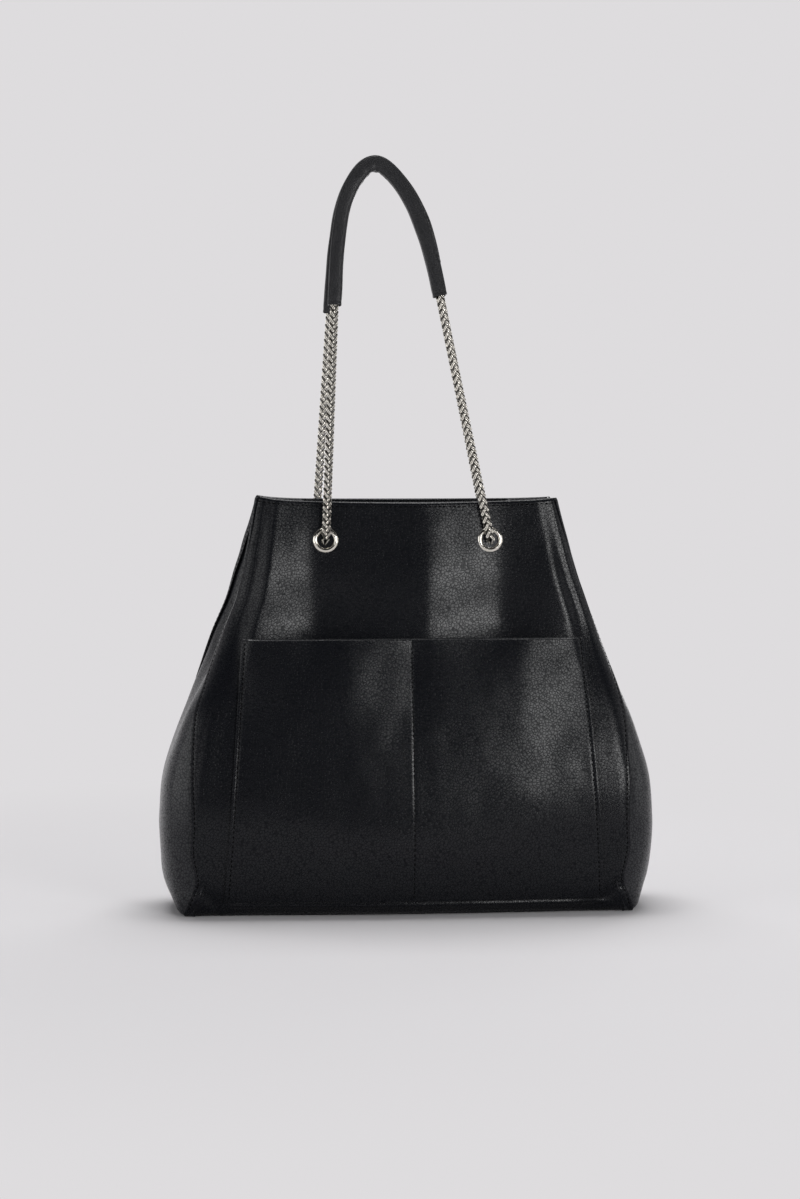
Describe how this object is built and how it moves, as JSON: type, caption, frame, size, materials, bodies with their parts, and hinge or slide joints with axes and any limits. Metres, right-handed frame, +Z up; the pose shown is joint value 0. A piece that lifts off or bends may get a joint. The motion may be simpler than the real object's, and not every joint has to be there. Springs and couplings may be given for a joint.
{
  "type": "chain shoulder bag",
  "caption": "Soft trapezoid leather shopper with a divided front patch pocket, metal eyelets and chain straps in padded shoulder sleeves that swing down over its faces.",
  "frame": {"origin": "middle of the base's underside, on the surface that the bag stands on", "axes": "+Z up, front with the patch pocket towards -Y, +X to the right of someone who looks at the front"},
  "size_m": [0.4762, 0.1742, 0.7268],
  "materials": {
    "black_leather": "pebbled satin",
    "lining_fabric": "matte twill",
    "board": "matte",
    "pad_foam": "matte",
    "zip_tape": "matte",
    "nickel": "polished"
  },
  "bodies": {
    "bag": {"front_panel": "black_leather", "back_panel": "black_leather", "left_gusset": "black_leather", "right_gusset": "black_leather", "base_panel": "black_leather", "front_pocket": "black_leather", "front_facing": "black_leather", "back_facing": "black_leather", "left_facing": "black_leather", "right_facing": "black_leather", "lining_front": "lining_fabric", "lining_back": "lining_fabric", "lining_left": "lining_fabric", "lining_right": "lining_fabric", "lining_base": "lining_fabric", "zip_pocket_bag": "lining_fabric", "base_board": "board", "front_stiffener": "board", "back_stiffener": "board", "zip_tape": "zip_tape", "left_inner_chain": "nickel", "right_inner_chain": "nickel", "snap_socket": "nickel", "snap_socket_washer": "nickel", "snap_stud": "nickel", "snap_stud_washer": "nickel", "zip_teeth": "nickel", "front_left_eyelet": "nickel", "front_left_washer": "nickel", "front_right_eyelet": "nickel", "front_right_washer": "nickel", "back_left_eyelet": "nickel", "back_left_washer": "nickel", "back_right_eyelet": "nickel", "back_right_washer": "nickel"},
    "front_strap": {"front_strap_chain": "nickel", "front_shoulder_pad": "black_leather", "front_pad_foam": "pad_foam"},
    "back_strap": {"back_strap_chain": "nickel", "back_shoulder_pad": "black_leather", "back_pad_foam": "pad_foam"},
    "zip_slider": {"zip_slider": "nickel"},
    "zip_pull": {"zip_pull": "nickel"}
  },
  "joints": [
    {"name": "front_strap_swing", "type": "hinge", "parent": "bag", "child": "front_strap", "pos_m": [0, -0.03838, 0.35755], "axis": [1, 0, 0], "range_deg": [0, 165]},
    {"name": "back_strap_swing", "type": "hinge", "parent": "bag", "child": "back_strap", "pos_m": [0, 0.03838, 0.35755], "axis": [-1, 0, 0], "range_deg": [0, 165]},
    {"name": "zip_slide", "type": "slide", "parent": "bag", "child": "zip_slider", "axis": [1, 0, 0], "range_m": [0, 0.141]},
    {"name": "zip_pull_flip", "type": "hinge", "parent": "zip_slider", "child": "zip_pull", "pos_m": [-0.0705, 0.02415, 0.30504], "axis": [-1, 0, 0], "range_deg": [0, 170]}
  ]
}
